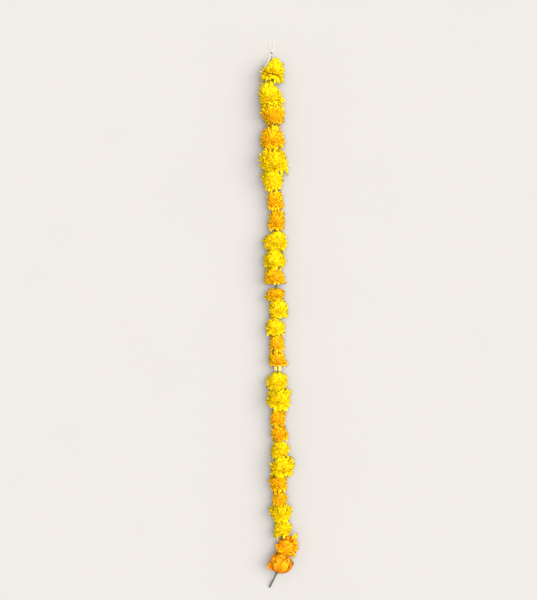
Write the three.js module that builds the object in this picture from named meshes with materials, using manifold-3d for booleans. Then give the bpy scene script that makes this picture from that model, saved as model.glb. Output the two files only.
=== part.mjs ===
// A marigold garland, laid out straight on a flat surface.
//
// Millimetres. +Y runs along the string towards the hanging loop, +X is to the right of it and +Z is
// up. While it is built, z = 0 is the surface that the blooms rest on and y = 0 is the face of the
// first bloom. Every bloom is a dense head of ruffled petals over a green calyx, and faces the loop.

import * as THREE from "three";
import { mergeVertices } from "three/addons/utils/BufferGeometryUtils.js";
import Module from "manifold-3d";

const wasm = await Module();
wasm.setup();

// Driving dimensions.
const THREAD_DIAMETER = 1.2;
const STEM_DIAMETER = 3.2;
const STEM_LENGTH = 33;
const PETAL_THICKNESS = 0.9;
const CLEARANCE = 0.3;

// From the loop down to the stem: petal colour, length of string taken up, the share of it above the
// widest place, width there, shift to the right of the string, lean to the left in degrees, and the
// bare stalk below.
const BLOOMS = [
  ["yellow", 50, 0.58, 47, 1, 0, 0],
  ["yellow", 45, 0.6, 48, -3, 4, 0],
  ["orange", 37, 0.45, 43, 1, -4, 0],
  ["orange", 43, 0.5, 46, -1, 3, 0],
  ["yellow", 44, 0.55, 53, 0, -3, 0],
  ["yellow", 36, 0.4, 44, -2, 5, 0],
  ["orange", 35, 0.45, 33, 1, -4, 0],
  ["orange", 41, 0.5, 34, 2, 2, 0],
  ["yellow", 34, 0.5, 44, 0, -3, 0],
  ["yellow", 35, 0.55, 43, -2, 3, 0],
  ["orange", 31, 0.6, 43, -3, 0, 6],
  ["orange", 23, 0.45, 40, -1, -5, 0],
  ["yellow", 36, 0.48, 38, 4, -6, 0],
  ["yellow", 30, 0.5, 40, -3, 4, 0],
  ["orange", 30, 0.45, 30, 0, -2, 0],
  ["orange", 30, 0.6, 35, 1, 3, 8],
  ["yellow", 34, 0.57, 42, -1, 0, 0],
  ["yellow", 38, 0.42, 48, 1, -4, 0],
  ["orange", 31, 0.5, 30, -1, 3, 0],
  ["orange", 30, 0.55, 33, 2, -3, 0],
  ["yellow", 30, 0.58, 36, 2, -4, 0],
  ["yellow", 32, 0.45, 49, 6, -8, 0],
  ["orange", 31, 0.45, 36, -3, 6, 0],
  ["orange", 28, 0.5, 30, -1, -2, 0],
  ["yellow", 31, 0.4, 43, 1, 3, 0],
  ["yellow", 30, 0.42, 34, 3, -6, 0],
  ["orange", 30, 0.5, 43, 11, -20, 0],
  ["orange", 38, 0.42, 43, 0, -25, 0],
];
const STRING_HEIGHT_SHARE = 0.77; // of the blooms' radius: their lowest petals fold under them
const STRING_SHIFT_SHARE = 0.3; // how far the string follows a bloom that sits to one side
const LAST_STRING_SHIFT = 4; // the string comes out beside the last bloom's calyx, and is knotted there
const STOP_KNOT_DIAMETER = 3.6;

// Petals stand in tiers, each a frill round the head, cut into petals down to near the core.
const TIER_ANGLES = [136, 106, 74, 42]; // of the petals' tips, in degrees from the head's axis
const PETALS_PER_TIER = 5;
// Round a tier, each petal has two corners with a notch between them, and a cleft beside it: how far
// out each of them lies, as a share of the head's outline, and its wave towards the face.
const PETAL_EDGE = [
  [1, 1],
  [0.86, -0.8],
  [0.97, 0.7],
  [0.7, 0],
];
const PETAL_WAVE = 1.5;
const ROOT_SHARE = 0.6; // of the head's outline, where the faces of two tiers meet
const ROOT_RISE = 6; // degrees: petals grow from nearer the calyx than their tips
const HEAD_FILL = 1.1; // the petals would reach this far, as a share, if the neighbours let them
const HEAD_SQUARENESS = 3; // exponent of the head's outline: 2 is an ellipse
const UNDERSIDE_SHARE = 0.35; // of the head below its widest place, where the lowest petals meet
const FACE_SHARE = 0.6; // of the head above its widest place, where the highest petals meet
const TIER_SHIFT = 2; // points round the rim, from one tier's petals to the next tier's
const PETAL_JITTER_SIZE = 0.09; // share
const PETAL_JITTER_ANGLE = 5; // degrees
const FLAT_DEPTH = 0.5; // trimmed off the petals that meet the surface, so that they rest on flats

// Routes of the free threads, from where the string leaves the first bloom: right, on, and height.
const LOOP_ROUTE = [
  [0, 0.3, 18.7],
  [0, 1.5, 18.3],
  [0.1, 2.8, 16.6],
  [0.2, 3.5, 13.6],
  [0.2, 3.9, 9.5],
  [0.2, 4.3, 5.4],
  [0.1, 5.2, 2.6],
  [0, 7, 1.5],
  [-0.1, 9.5, 1.3],
  [-0.5, 12, 0.9],
  [-1.7, 15.5, 0.7],
  [-3.2, 20, 0.7],
  [-3.9, 25, 0.7],
  [-3.4, 29.5, 0.7],
  [-1.6, 32.6, 0.7],
  [1, 33.4, 0.7],
  [3.2, 31.4, 0.7],
  [4, 27, 0.7],
  [3.7, 21.8, 0.7],
  [2.9, 17, 0.7],
  [1.9, 13.3, 0.8],
  [1.5, 11.2, 1],
];
const TAIL_ROUTE = [
  [-1, 0.3, 19.2],
  [-1.5, 1, 22],
  [-2.1, 0.8, 27],
  [-3, -1.6, 32.5],
  [-4.3, -7, 37.4],
  [-6.3, -13, 40],
  [-10, -19.5, 40.3],
  [-14.6, -26, 37.6],
  [-19.4, -32, 31.5],
  [-22.8, -36.3, 23.6],
  [-24.5, -39, 14.5],
  [-25.2, -41, 6],
  [-25.8, -43.4, 2],
  [-26.6, -46.4, 0.8],
  [-27.4, -49.5, 0.7],
];
const KNOT_SIZE = [3.2, 4, 2.6];
const KNOT_PLACE = [0.3, 8.9, 1.45];

const CORD_SIDES = 8;
const STRING_STEPS = 50;
const LOOP_STEPS = 22;
const TAIL_STEPS = 24;
const HEAD_HOLE_RADIUS = 1.8; // to the corners of the square hole that the string pulls open
const CALYX_HOLE_RADIUS = 1.3;
const CALYX_SIDES = 6;
const CALYX_DROP_SHARE = 0.23; // of the bloom's radius, from where its lowest petals meet to the rim
const CALYX_RIM_SHARE = 0.22; // of the bloom's radius

const COLOURS = {
  yellow: 0xf8d210,
  orange: 0xf49c10,
  green: 0x6f8a55,
  thread: 0xe6dcc0,
};

const Y = new THREE.Vector3(0, 1, 0);
const Z = new THREE.Vector3(0, 0, 1);
const radians = THREE.MathUtils.degToRad;

/** Repeatable random numbers from 0 to 1. */
function seededRandom(seed) {
  let state = seed;
  return () => {
    state = (state + 0x6d2b79f5) | 0;
    let t = Math.imul(state ^ (state >>> 15), 1 | state);
    t = (t + Math.imul(t ^ (t >>> 7), 61 | t)) ^ t;
    return ((t ^ (t >>> 14)) >>> 0) / 4294967296;
  };
}

/** A closed three.js geometry as a solid. */
function toSolid(geometry) {
  const bare = geometry.clone();
  bare.deleteAttribute("normal");
  bare.deleteAttribute("uv");
  const merged = mergeVertices(bare, 1e-4);
  return new wasm.Manifold(
    new wasm.Mesh({
      numProp: 3,
      vertProperties: new Float32Array(merged.attributes.position.array),
      triVerts: new Uint32Array(merged.index.array),
    }),
  );
}

/** The largest body of a solid as a three.js geometry: a scrap that a cut leaves is dropped. */
function toGeometry(solid) {
  const [body] = solid.decompose().sort((a, b) => b.volume() - a.volume());
  const { vertProperties, triVerts } = body.getMesh();
  const geometry = new THREE.BufferGeometry();
  geometry.setAttribute("position", new THREE.BufferAttribute(vertProperties, 3));
  geometry.setIndex(new THREE.BufferAttribute(triVerts, 1));
  geometry.computeVertexNormals();
  return geometry;
}

/** A bar of regular section along a path, with closed ends. */
function bar(path, radius, sides, steps) {
  const corners = Array.from({ length: sides }, (_, i) => {
    const angle = (2 * Math.PI * i) / sides;
    return new THREE.Vector2(radius * Math.cos(angle), radius * Math.sin(angle));
  });
  return toSolid(new THREE.ExtrudeGeometry(new THREE.Shape(corners), { extrudePath: path, steps }));
}

/** A big block behind a plane, which cuts off what passes the plane near a point. */
function blockBehind(plane, near) {
  const size = 150;
  const block = new THREE.BoxGeometry(size, size, size);
  block.translate(0, 0, -size / 2);
  block.applyQuaternion(new THREE.Quaternion().setFromUnitVectors(Z, plane.normal));
  const place = plane.projectPoint(near, new THREE.Vector3());
  block.translate(place.x, place.y, place.z);
  return toSolid(block);
}

/** The plane where a bloom ends above (towards = 1) or below (-1), facing into the bloom. */
function endPlane(bloom, neighbour, towards) {
  const edge = bloom.centre.clone().addScaledVector(Y, towards > 0 ? bloom.above : -bloom.below);
  const inward = new THREE.Vector3(0, -towards, 0);
  if (neighbour) {
    edge.x = (bloom.centre.x + neighbour.centre.x) / 2;
    inward.copy(bloom.centre).sub(neighbour.centre).setZ(0).normalize();
  }
  edge.addScaledVector(inward, CLEARANCE / 2);
  return new THREE.Plane().setFromNormalAndCoplanarPoint(inward, edge);
}

/** The blooms of the list above, each with its place on the string and the planes where it ends. */
function layOut() {
  let start = 0;
  const blooms = BLOOMS.map(([colour, length, widest, width, shift, lean, bareBelow]) => {
    const above = widest * length;
    const bloom = { colour, above, below: length - above, radius: width / 2, shift, bareBelow };
    bloom.tilt = radians(lean);
    bloom.along = start - above;
    start -= length + bareBelow;
    return bloom;
  });
  for (const [i, bloom] of blooms.entries()) {
    const before = blooms[i - 1] ?? bloom;
    const after = blooms[i + 1] ?? bloom;
    const evened = (before.radius + 2 * bloom.radius + after.radius) / 4;
    const height = STRING_HEIGHT_SHARE * evened;
    bloom.centre = new THREE.Vector3(bloom.shift, bloom.along, height);
    bloom.onString = new THREE.Vector3(STRING_SHIFT_SHARE * bloom.shift, bloom.along, height);
    if (i === blooms.length - 1) bloom.onString.x = LAST_STRING_SHIFT;
  }
  for (const [i, bloom] of blooms.entries()) {
    bloom.upperEnd = endPlane(bloom, blooms[i - 1], 1);
    bloom.lowerEnd = endPlane(bloom, blooms[i + 1], -1);
  }
  return blooms;
}

/** How far a head's outline lies from its widest place on its axis, at an angle from the axis. */
function reach(bloom, angle) {
  const along = Math.abs(Math.cos(angle)) / (HEAD_FILL * (angle < Math.PI / 2 ? bloom.above : bloom.below));
  const out = Math.abs(Math.sin(angle)) / bloom.radius;
  return (along ** HEAD_SQUARENESS + out ** HEAD_SQUARENESS) ** (-1 / HEAD_SQUARENESS);
}

/** Bends a point of a petal clear of the surface and of the neighbouring blooms. */
function bendClear(point, bloom, thickness) {
  point.z = Math.max(point.z, -FLAT_DEPTH);
  for (const plane of [bloom.upperEnd, bloom.lowerEnd]) {
    const short = PETAL_THICKNESS - plane.distanceToPoint(point) + thickness * plane.normal.y;
    if (short > 0) point.addScaledVector(plane.normal, short);
  }
  return point;
}

/** A closed surface from rings of points, which ends in a hole with four corners at each end. */
function ringed(rings, firstCorners, lastCorners) {
  const columns = rings[0].length;
  const perCorner = columns / firstCorners.length;
  const points = [...rings.flat(), ...firstCorners, ...lastCorners];
  const at = (ring, column) => ring * columns + (column % columns);
  const firstCorner = (i) => rings.length * columns + (i % firstCorners.length);
  const lastCorner = (i) => firstCorner(i) + firstCorners.length;
  const last = rings.length - 1;
  const index = [];
  for (let i = 0; i < columns; i++) {
    for (let k = 0; k < last; k++) {
      index.push(at(k, i), at(k + 1, i), at(k + 1, i + 1), at(k, i), at(k + 1, i + 1), at(k, i + 1));
    }
    const corner = Math.floor(i / perCorner);
    index.push(firstCorner(corner), at(0, i), at(0, i + 1));
    index.push(lastCorner(corner), at(last, i + 1), at(last, i));
  }
  for (let i = 0; i < firstCorners.length; i++) {
    const seam = (i + 1) * perCorner;
    index.push(firstCorner(i), at(0, seam), firstCorner(i + 1));
    index.push(lastCorner(i), lastCorner(i + 1), at(last, seam));
    index.push(firstCorner(i), firstCorner(i + 1), lastCorner(i + 1));
    index.push(firstCorner(i), lastCorner(i + 1), lastCorner(i));
  }
  return toSolid(new THREE.BufferGeometry().setFromPoints(points).setIndex(index));
}

/** The rim of one tier of petals: for each point round it, its angle from the axis, reach and wave. */
function tierRim(tierAngle, spread) {
  const rim = [];
  for (let petal = 0; petal < PETALS_PER_TIER; petal++) {
    const size = 1 + spread(PETAL_JITTER_SIZE);
    const angle = radians(tierAngle + spread(PETAL_JITTER_ANGLE));
    for (const [share, wave] of PETAL_EDGE) rim.push({ angle, share: share * size, lift: wave * PETAL_WAVE });
  }
  return rim;
}

/** A bloom's head: tiers of petals, raised from a smaller core, with notched and waved tips. */
function head(bloom, seed) {
  const random = seededRandom(seed);
  const spread = (by) => by * (2 * random() - 1);
  const columns = PETALS_PER_TIER * PETAL_EDGE.length;
  const inPlace = (point) => point.applyAxisAngle(Z, bloom.tilt).add(bloom.centre);
  const ring = (turn, rim, thickness) =>
    rim.map(({ angle, share, lift }, column) => {
      const around = turn + (2 * Math.PI * column) / columns;
      const out = new THREE.Vector3(Math.cos(around), 0, Math.sin(around));
      const point = out.clone().multiplyScalar(Math.sin(angle)).addScaledVector(Y, Math.cos(angle));
      point.multiplyScalar(share * reach(bloom, angle));
      point.addScaledVector(Y, (lift + thickness) * Math.sin(angle));
      point.addScaledVector(out, -(lift + thickness) * Math.cos(angle));
      return bendClear(inPlace(point), bloom, thickness);
    });
  const rings = [];
  const turn = radians(spread(180));
  for (const [tier, tierAngle] of TIER_ANGLES.entries()) {
    if (tier > 0) {
      const rootAngle = radians((TIER_ANGLES[tier - 1] + tierAngle) / 2 + ROOT_RISE);
      const root = Array.from({ length: columns }, () => ({ angle: rootAngle, share: ROOT_SHARE, lift: 0 }));
      rings.push(ring(turn, root, 0));
    }
    const rim = tierRim(tierAngle, spread);
    const shifted = rim.map((_, column) => rim[(column + TIER_SHIFT * tier) % columns]);
    rings.push(ring(turn, shifted, -PETAL_THICKNESS / 2), ring(turn, shifted, PETAL_THICKNESS / 2));
  }
  const corners = (y) =>
    [0, 1, 2, 3].map((corner) => {
      const around = turn + (Math.PI / 2) * (corner + 0.5);
      const fromString = new THREE.Vector3(Math.cos(around), 0, Math.sin(around));
      return fromString.multiplyScalar(HEAD_HOLE_RADIUS).add(stringAt(y));
    });
  const under = corners(bloom.centre.y - UNDERSIDE_SHARE * bloom.below);
  return ringed(rings, under, corners(bloom.centre.y + FACE_SHARE * bloom.above));
}

/** A green cup and its stub of stalk under a bloom, round the string. */
function calyx(bloom) {
  const rim = UNDERSIDE_SHARE * bloom.below + CALYX_DROP_SHARE * bloom.radius;
  const foot = bloom.below + bloom.bareBelow - CLEARANCE;
  const height = foot - rim;
  const stubRadius = CALYX_HOLE_RADIUS + 0.07 * bloom.radius;
  const profile = [
    [CALYX_HOLE_RADIUS, 0],
    [stubRadius, 0],
    [stubRadius, Math.max(0.2 * height, bloom.bareBelow)],
    [CALYX_RIM_SHARE * bloom.radius, height],
    [CALYX_HOLE_RADIUS, height],
    [CALYX_HOLE_RADIUS, 0],
  ];
  const cup = new THREE.LatheGeometry(profile.map((p) => new THREE.Vector2(...p)), CALYX_SIDES);
  const from = stringAt(bloom.centre.y - foot);
  const along = stringAt(bloom.centre.y - rim).sub(from).normalize();
  cup.applyQuaternion(new THREE.Quaternion().setFromUnitVectors(Y, along));
  return toSolid(cup.translate(...from));
}

/** The last bloom's calyx and the cut stem that it keeps, which leans down to the surface. */
function calyxWithStem(bloom) {
  const direction = Y.clone().negate().applyAxisAngle(Z, bloom.tilt);
  const rim = UNDERSIDE_SHARE * bloom.below + CALYX_DROP_SHARE * bloom.radius;
  const place = (distance) => bloom.centre.clone().addScaledVector(direction, distance);
  const profile = [
    [0, rim],
    [CALYX_RIM_SHARE * bloom.radius, rim],
    [STEM_DIAMETER / 2 + 0.4, bloom.below],
    [0, bloom.below],
  ];
  const cup = new THREE.LatheGeometry(profile.map((p) => new THREE.Vector2(...p)), CALYX_SIDES);
  cup.applyQuaternion(new THREE.Quaternion().setFromUnitVectors(Y, direction));
  const end = place(bloom.below + STEM_LENGTH).setZ(STEM_DIAMETER / 2 + CLEARANCE);
  const start = place(rim + 2);
  const between = start.clone().lerp(end, 0.5).addScaledVector(Z, 1);
  const stem = bar(new THREE.CatmullRomCurve3([start, between, end]), STEM_DIAMETER / 2, 8, 6);
  return toSolid(cup.translate(...bloom.centre)).add(stem);
}

const materials = {};
for (const [name, color] of Object.entries(COLOURS)) {
  materials[name] = new THREE.MeshStandardMaterial({ color, roughness: 0.75, metalness: 0 });
}
const garland = new THREE.Group();

function addPiece(name, solid, colour) {
  const mesh = new THREE.Mesh(toGeometry(solid), materials[colour]);
  mesh.name = name;
  garland.add(mesh);
}

const blooms = layOut();
const first = blooms[0];
const last = blooms[blooms.length - 1];

// The string, from its stop knot under the last bloom to where it leaves the first.
const exit = new THREE.Vector3(first.onString.x, 0, first.centre.z);
const end = last.onString.clone();
end.y -= UNDERSIDE_SHARE * last.below + STOP_KNOT_DIAMETER / 2 + CLEARANCE;
const stringPath = new THREE.CatmullRomCurve3([end, ...blooms.map((b) => b.onString).reverse(), exit]);

/** The point of the string at a distance along the garland. */
function stringAt(y) {
  let low = 0;
  let high = 1;
  for (let i = 0; i < 30; i++) {
    const t = (low + high) / 2;
    if (stringPath.getPoint(t).y < y) low = t;
    else high = t;
  }
  return stringPath.getPoint(low).setY(y);
}

const threadRadius = THREAD_DIAMETER / 2;
const stopKnot = new THREE.IcosahedronGeometry(STOP_KNOT_DIAMETER / 2, 0).translate(...end);
const stringBar = bar(stringPath, threadRadius, CORD_SIDES, STRING_STEPS);
addPiece("string", stringBar.add(toSolid(stopKnot)), "thread");

// The free threads: the loop and its knot, and the loose end that lies over the first bloom.
const fromExit = ([right, on, height]) => new THREE.Vector3(exit.x + right, exit.y + on, height);
const loopPath = new THREE.CatmullRomCurve3(LOOP_ROUTE.map(fromExit));
const tailPath = new THREE.CatmullRomCurve3(TAIL_ROUTE.map(fromExit));
const loop = (margin) => bar(loopPath, threadRadius + margin, CORD_SIDES, LOOP_STEPS);
const tail = (margin) => bar(tailPath, threadRadius + margin, CORD_SIDES, TAIL_STEPS);
const knot = new THREE.IcosahedronGeometry(1, 0).scale(...KNOT_SIZE.map((size) => size / 2));
addPiece("hanging_loop", loop(0), "thread");
addPiece("knot", toSolid(knot.translate(...fromExit(KNOT_PLACE))).subtract(loop(CLEARANCE)), "thread");
addPiece("thread_tail", tail(0), "thread");

// The blooms, which lie flat where they meet the surface.
const surface = new THREE.Plane(Z);
for (const [i, bloom] of blooms.entries()) {
  const number = String(i + 1).padStart(2, "0");
  let petals = head(bloom, i + 1).subtract(blockBehind(surface, bloom.centre));
  if (bloom === first) petals = petals.subtract(tail(CLEARANCE));
  addPiece(`bloom_${number}`, petals, bloom.colour);
  addPiece(`calyx_${number}`, bloom === last ? calyxWithStem(bloom) : calyx(bloom), "green");
}

// The origin is on the surface, under the middle of the garland without its free threads.
const FREE_THREADS = ["hanging_loop", "knot", "thread_tail"];
const box = new THREE.Box3();
for (const piece of garland.children) {
  if (!FREE_THREADS.includes(piece.name)) box.expandByObject(piece);
}
const middle = box.getCenter(new THREE.Vector3());
garland.position.set(-middle.x, -middle.y, -box.min.z);

export default garland;
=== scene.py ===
"""The looks of the marigold garland, dressed over its CAD model, in metres and in the same frame.

The garland lies straight along Y on a pale floor, with its hanging loop at +Y. Each head of petals is
grown petal by petal inside the room that its CAD head takes, so that it stays clear of its neighbours.
"""

import math

import bpy
import numpy as np
from mathutils import Matrix, Vector


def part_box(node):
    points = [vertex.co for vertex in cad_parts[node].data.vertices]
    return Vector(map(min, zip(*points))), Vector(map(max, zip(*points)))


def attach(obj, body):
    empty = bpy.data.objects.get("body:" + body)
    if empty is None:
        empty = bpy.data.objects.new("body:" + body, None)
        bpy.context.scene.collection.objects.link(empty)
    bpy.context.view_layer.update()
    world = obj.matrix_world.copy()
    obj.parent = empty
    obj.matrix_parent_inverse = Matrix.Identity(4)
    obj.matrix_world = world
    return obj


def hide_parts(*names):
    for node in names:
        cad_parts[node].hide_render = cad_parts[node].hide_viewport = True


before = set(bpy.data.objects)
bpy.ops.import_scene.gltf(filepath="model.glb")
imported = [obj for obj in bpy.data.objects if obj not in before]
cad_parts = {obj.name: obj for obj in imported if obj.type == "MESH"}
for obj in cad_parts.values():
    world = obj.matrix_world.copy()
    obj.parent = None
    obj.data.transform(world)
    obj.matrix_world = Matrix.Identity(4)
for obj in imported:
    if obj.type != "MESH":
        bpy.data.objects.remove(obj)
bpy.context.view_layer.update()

MM = 0.001
HEADS = 28
THREAD_DIAMETER = 1.2 * MM
UP = np.array([0.0, 0.0, 1.0])

# The picture: its size, how much of the surface it covers, and where its middle lies.
PICTURE_HEIGHT_PX = 600
SCALE = 1.9 * MM  # of the surface, per pixel
SENSOR_HEIGHT = 24  # millimetres
CAMERA_DISTANCE = 2.4
CAMERA_ROLL = math.radians(1.12)
VIEW_LEFT_OF_STRING = 16.8 * MM
VIEW_ABOVE_MIDDLE = 43 * MM


# ---------------------------------------------------------------- camera


def aim_camera():
    """A camera straight above the garland, turned a little, as it hangs a little out of plumb."""
    data = bpy.data.cameras.new("camera")
    data.sensor_fit = "VERTICAL"
    data.sensor_height = SENSOR_HEIGHT
    data.lens = SENSOR_HEIGHT * CAMERA_DISTANCE / (PICTURE_HEIGHT_PX * SCALE)
    camera = bpy.data.objects.new("camera", data)
    low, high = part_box("string")
    middle_x = (low.x + high.x) / 2
    camera.location = (middle_x - VIEW_LEFT_OF_STRING, VIEW_ABOVE_MIDDLE, CAMERA_DISTANCE)
    camera.rotation_euler = (0, 0, -CAMERA_ROLL)
    bpy.context.scene.collection.objects.link(camera)
    bpy.context.scene.camera = camera


aim_camera()


# ---------------------------------------------------------------- meshes


def add_piece(name, points, faces, material, slot, *nodes, petal=None):
    """A smooth mesh piece that rides on the garland and stands for CAD nodes."""
    mesh = bpy.data.meshes.new(name)
    mesh.from_pydata([tuple(p) for p in points], [], [tuple(f) for f in faces])
    mesh.shade_smooth()
    if petal is not None:
        attribute = mesh.attributes.new("petal", "FLOAT_VECTOR", "POINT")
        attribute.data.foreach_set("vector", np.asarray(petal, np.float32).ravel())
    mesh.materials.append(material)
    piece = bpy.data.objects.new(name, mesh)
    bpy.context.scene.collection.objects.link(piece)
    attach(piece, "root")
    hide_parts(*nodes)
    return piece


def unit(vectors):
    """Vectors at length 1."""
    return vectors / np.linalg.norm(vectors, axis=-1, keepdims=True)


def distance_along(path):
    """How far along a path each of its points lies."""
    return np.concatenate([[0], np.cumsum(np.linalg.norm(np.diff(path, axis=0), axis=1))])


def quads(index, order=1):
    """Faces between the neighbouring rows and columns of a grid of point numbers."""
    corners = [index[:-1, :-1], index[:-1, 1:], index[1:, 1:], index[1:, :-1]][::order]
    return np.stack([corner.ravel() for corner in corners], axis=1)


# ---------------------------------------------------------------- materials

PETAL_TRANSLUCENCY = 0.6
ROOT_COLOUR_TO = 0.25  # shares of a petal's length
MIDDLE_COLOUR_AT = 0.66
TIP_COLOUR_FROM = 0.97
DARKEST_TONE = 0.88  # of a petal, beside its colour
LIGHTEST_TONE = 1.1
VEIN_STRETCH = (9.0, 0.8, 40.0)  # across a petal, along it, and from one petal to the next
VEIN_STRENGTH = 0.2
STREAK_STRETCH = (1.0, 0.18, 1.0)


def node_material(name, roughness, specular):
    """A material with its node tree, shader and a helper that adds a node and sets its inputs."""
    material = bpy.data.materials.new(name)
    material.use_nodes = True
    tree = material.node_tree
    shader = tree.nodes["Principled BSDF"]
    shader.inputs["Roughness"].default_value = roughness
    shader.inputs["Specular IOR Level"].default_value = specular

    def node(kind, inputs=(), **settings):
        made = tree.nodes.new(kind)
        for key, value in settings.items():
            setattr(made, key, value)
        for key, value in dict(inputs).items():
            if isinstance(value, bpy.types.NodeSocket):
                tree.links.new(value, made.inputs[key])
            else:
                made.inputs[key].default_value = value
        return made

    return material, tree, shader, node


def colour_ramp(node, factor, first, last, first_to=0.0, last_from=1.0):
    """Colours that run from the first to the last between two values of a factor."""
    ramp = node("ShaderNodeValToRGB", {0: factor})
    stops = ramp.color_ramp.elements
    stops[0].position = first_to
    stops[0].color = first
    stops[1].position = last_from
    stops[1].color = last
    return ramp


def add_bump(tree, node, shader, height, strength, distance):
    """Roughens a shader's surface by a height, and returns the normal that it gives."""
    bump = node("ShaderNodeBump", {"Height": height, "Strength": strength, "Distance": distance})
    tree.links.new(bump.outputs["Normal"], shader.inputs["Normal"])
    return bump.outputs["Normal"]


def petal_tone(node, along, tone, root, middle, tip):
    """The colours along a petal, deeper at the root partly as painted shade, a little blotched, in a tone
    of the petal's own.
    """
    ramp = colour_ramp(node, along, root, tip, ROOT_COLOUR_TO, TIP_COLOUR_FROM)
    ramp.color_ramp.elements.new(MIDDLE_COLOUR_AT).color = middle
    place = node("ShaderNodeTexCoord").outputs["Object"]
    blotches = node("ShaderNodeTexNoise", {"Vector": place, "Scale": 160.0, "Detail": 3.0})
    shade = node("ShaderNodeMath", {0: tone, 1: blotches.outputs["Fac"]}, operation="ADD")
    span = node("ShaderNodeMapRange", {"Value": shade.outputs[0], "From Min": 0.3, "From Max": 1.7})
    span.inputs["To Min"].default_value = DARKEST_TONE
    span.inputs["To Max"].default_value = LIGHTEST_TONE
    toned = node("ShaderNodeHueSaturation", {"Color": ramp.outputs["Color"], "Value": span.outputs[0]})
    return toned.outputs["Color"]


def petal_veins(node, across, along, tone):
    """Fine uneven lines along a petal, other ones on each petal."""
    place = node("ShaderNodeCombineXYZ", {"X": across, "Y": along, "Z": tone})
    stretch = node("ShaderNodeVectorMath", {0: place.outputs[0], 1: VEIN_STRETCH}, operation="MULTIPLY")
    veins = node("ShaderNodeTexNoise", {"Vector": stretch.outputs[0], "Scale": 1.0, "Detail": 2.0})
    return veins.outputs["Fac"]


def petal_material(name, root, middle, tip, vein):
    """Petal skin: deeper towards the root, partly its own colour and partly painted shade for the recesses
    where the roots lie, paler at the ruffled edge, finely veined, and lit through.
    """
    material, tree, shader, node = node_material(name, 0.7, 0.12)
    petal = node("ShaderNodeAttribute", attribute_name="petal")
    parts = node("ShaderNodeSeparateXYZ", {0: petal.outputs["Vector"]})
    across, along, tone = parts.outputs
    toned = petal_tone(node, along, tone, root, middle, tip)
    veins = petal_veins(node, across, along, tone)
    fine = node("ShaderNodeMapRange", {"Value": veins, "From Min": 0.38, "From Max": 0.6})
    fade = node("ShaderNodeMath", {0: fine.outputs[0], 1: VEIN_STRENGTH}, operation="MULTIPLY")
    mixed = node("ShaderNodeMix", {"Factor": fade.outputs[0]}, data_type="RGBA")
    tree.links.new(toned, mixed.inputs["A"])
    mixed.inputs["B"].default_value = vein
    colour = mixed.outputs["Result"]
    tree.links.new(colour, shader.inputs["Base Color"])
    normal = add_bump(tree, node, shader, veins, 0.35, 0.4 * MM)
    through = node("ShaderNodeBsdfTranslucent", {"Color": colour, "Normal": normal})
    shaders = {0: PETAL_TRANSLUCENCY, 1: shader.outputs[0], 2: through.outputs[0]}
    both = node("ShaderNodeMixShader", shaders)
    tree.links.new(both.outputs[0], tree.nodes["Material Output"].inputs["Surface"])
    return material


def plant_material(name, dark, light):
    """Calyx and stem: matte, streaked along Y and mottled."""
    material, tree, shader, node = node_material(name, 0.6, 0.3)
    place = node("ShaderNodeTexCoord").outputs["Object"]
    stretch = node("ShaderNodeVectorMath", {0: place, 1: STREAK_STRETCH}, operation="MULTIPLY")
    streaks = node("ShaderNodeTexNoise", {"Vector": stretch.outputs[0], "Scale": 900.0, "Detail": 4.0})
    ramp = colour_ramp(node, streaks.outputs["Fac"], dark, light, 0.32, 0.68)
    tree.links.new(ramp.outputs["Color"], shader.inputs["Base Color"])
    add_bump(tree, node, shader, streaks.outputs["Fac"], 0.4, 0.3 * MM)
    return material


def thread_material(name, dark, light):
    """Cotton thread: short fibres and stains, with a soft sheen."""
    material, tree, shader, node = node_material(name, 0.85, 0.2)
    place = node("ShaderNodeTexCoord").outputs["Object"]
    stains = node("ShaderNodeTexNoise", {"Vector": place, "Scale": 90.0, "Detail": 3.0})
    ramp = colour_ramp(node, stains.outputs["Fac"], dark, light, 0.35, 0.62)
    tree.links.new(ramp.outputs["Color"], shader.inputs["Base Color"])
    fibres = node("ShaderNodeTexNoise", {"Vector": place, "Scale": 3500.0, "Detail": 2.0})
    add_bump(tree, node, shader, fibres.outputs["Fac"], 0.5, 0.08 * MM)
    shader.inputs["Sheen Weight"].default_value = 0.3
    return material


def floor_material():
    """Plain pale plaster, faintly uneven."""
    material, tree, shader, node = node_material("pale_floor", 0.9, 0.1)
    place = node("ShaderNodeTexCoord").outputs["Object"]
    patches = node("ShaderNodeTexNoise", {"Vector": place, "Scale": 6.0, "Detail": 4.0})
    ramp = colour_ramp(node, patches.outputs["Fac"], (0.268, 0.2575, 0.244, 1), (0.274, 0.2635, 0.25, 1))
    tree.links.new(ramp.outputs["Color"], shader.inputs["Base Color"])
    return material


# Root colours: partly the petals' own deeper base, partly painted shade for the recesses among the petals
# where the roots lie.
YELLOW = petal_material(
    "yellow_petal",
    root=(0.98, 0.72, 0.003, 1),
    middle=(0.99, 0.82, 0.003, 1),
    tip=(0.99, 0.86, 0.01, 1),
    vein=(0.98, 0.76, 0.003, 1),
)
ORANGE = petal_material(
    "orange_petal",
    root=(0.95, 0.36, 0.003, 1),
    middle=(0.99, 0.67, 0.003, 1),
    tip=(0.99, 0.82, 0.01, 1),
    vein=(0.97, 0.5, 0.003, 1),
)
AMBER = petal_material(
    "amber_petal",
    root=(0.9, 0.38, 0.002, 1),
    middle=(0.97, 0.58, 0.003, 1),
    tip=(0.98, 0.68, 0.012, 1),
    vein=(0.88, 0.4, 0.002, 1),
)
DEEP_ORANGE = petal_material(
    "deep_petal",
    root=(0.8, 0.28, 0.002, 1),
    middle=(0.91, 0.44, 0.003, 1),
    tip=(0.94, 0.54, 0.01, 1),
    vein=(0.74, 0.27, 0.002, 1),
)
GREEN = plant_material("green_calyx", (0.03, 0.046, 0.02, 1), (0.065, 0.09, 0.045, 1))
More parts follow.
